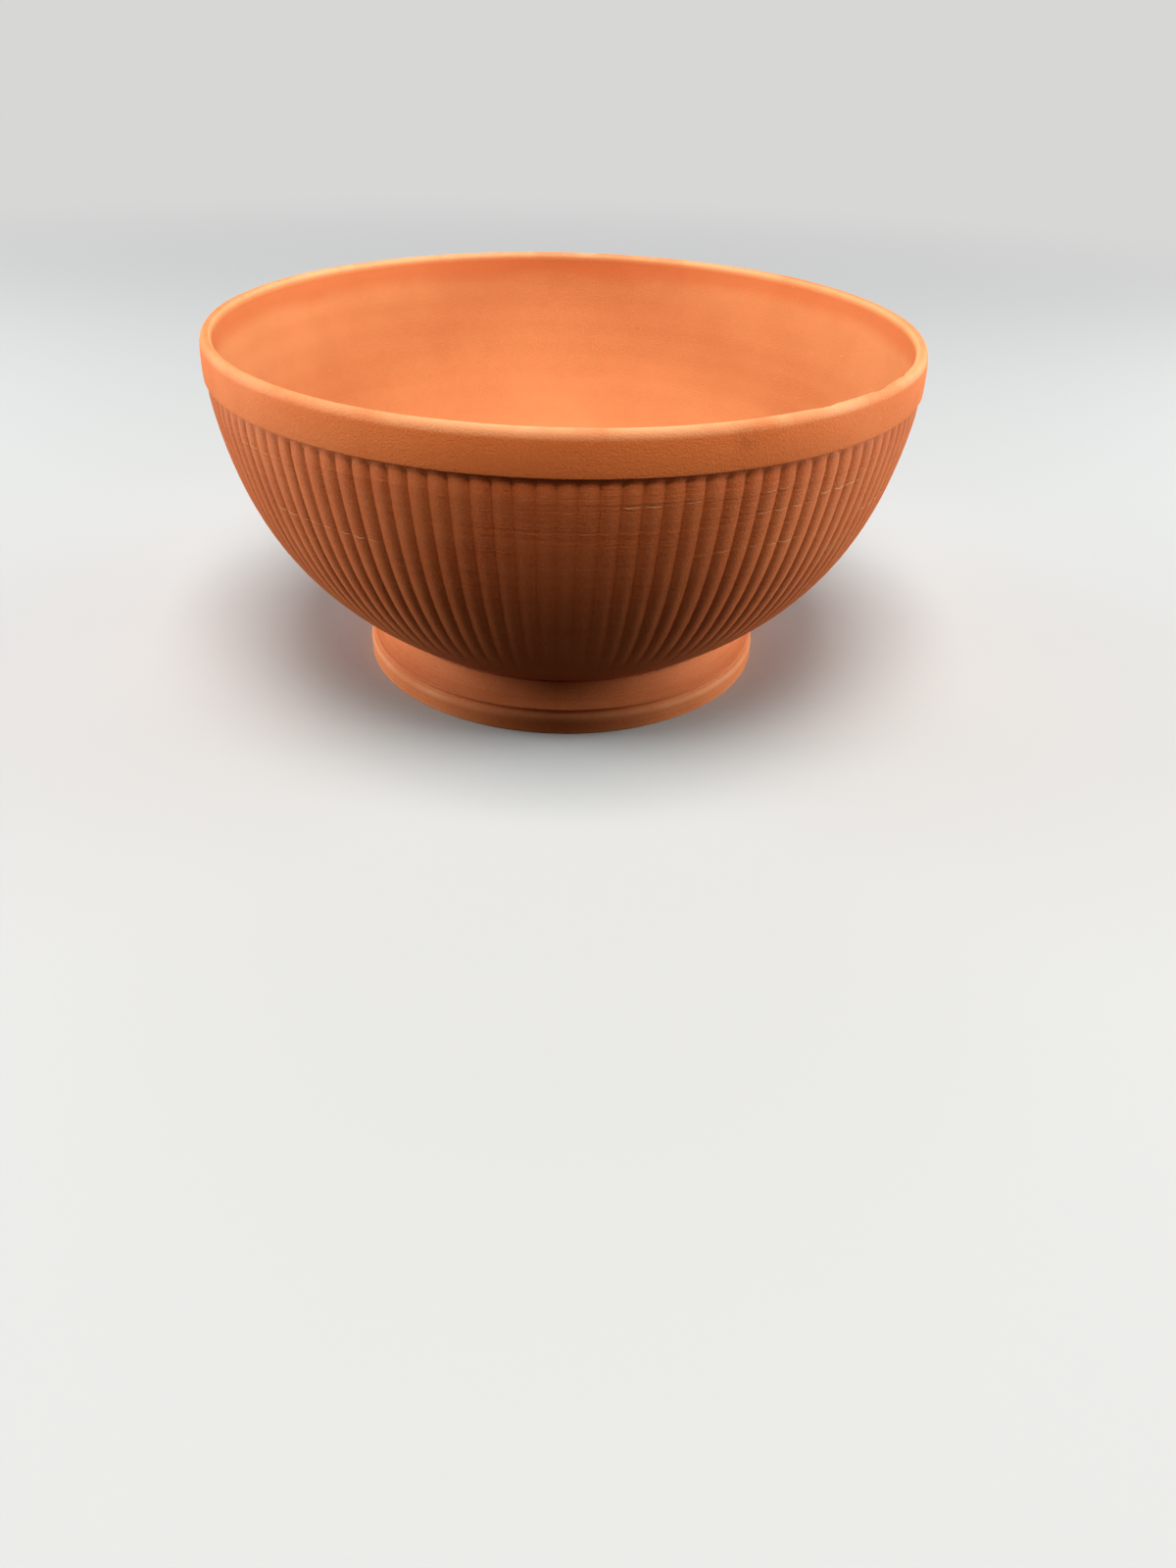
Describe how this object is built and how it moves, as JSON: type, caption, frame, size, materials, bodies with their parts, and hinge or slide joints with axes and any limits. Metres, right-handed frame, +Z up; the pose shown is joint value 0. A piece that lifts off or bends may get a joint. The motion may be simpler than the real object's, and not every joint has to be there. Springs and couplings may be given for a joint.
{
  "type": "footed bowl",
  "caption": "Open round bowl of unglazed red earthenware with a plain rounded rim band, an upright reeded wall and a turned foot ring.",
  "frame": {"origin": "centre of the circle that the foot ring stands on", "axes": "+Z up along the turning axis, -Y towards the front of the picture, +X to its right"},
  "size_m": [0.203, 0.203, 0.1007],
  "materials": {
    "earthenware": "unglazed, matt, fine grained, with pale wear on the lip and on the reeds",
    "slip": "dried and fired slip, matt and slightly rough"
  },
  "bodies": {
    "root": {"bowl": "earthenware", "luting_slip": "slip", "foot_ring": "earthenware"}
  },
  "joints": []
}
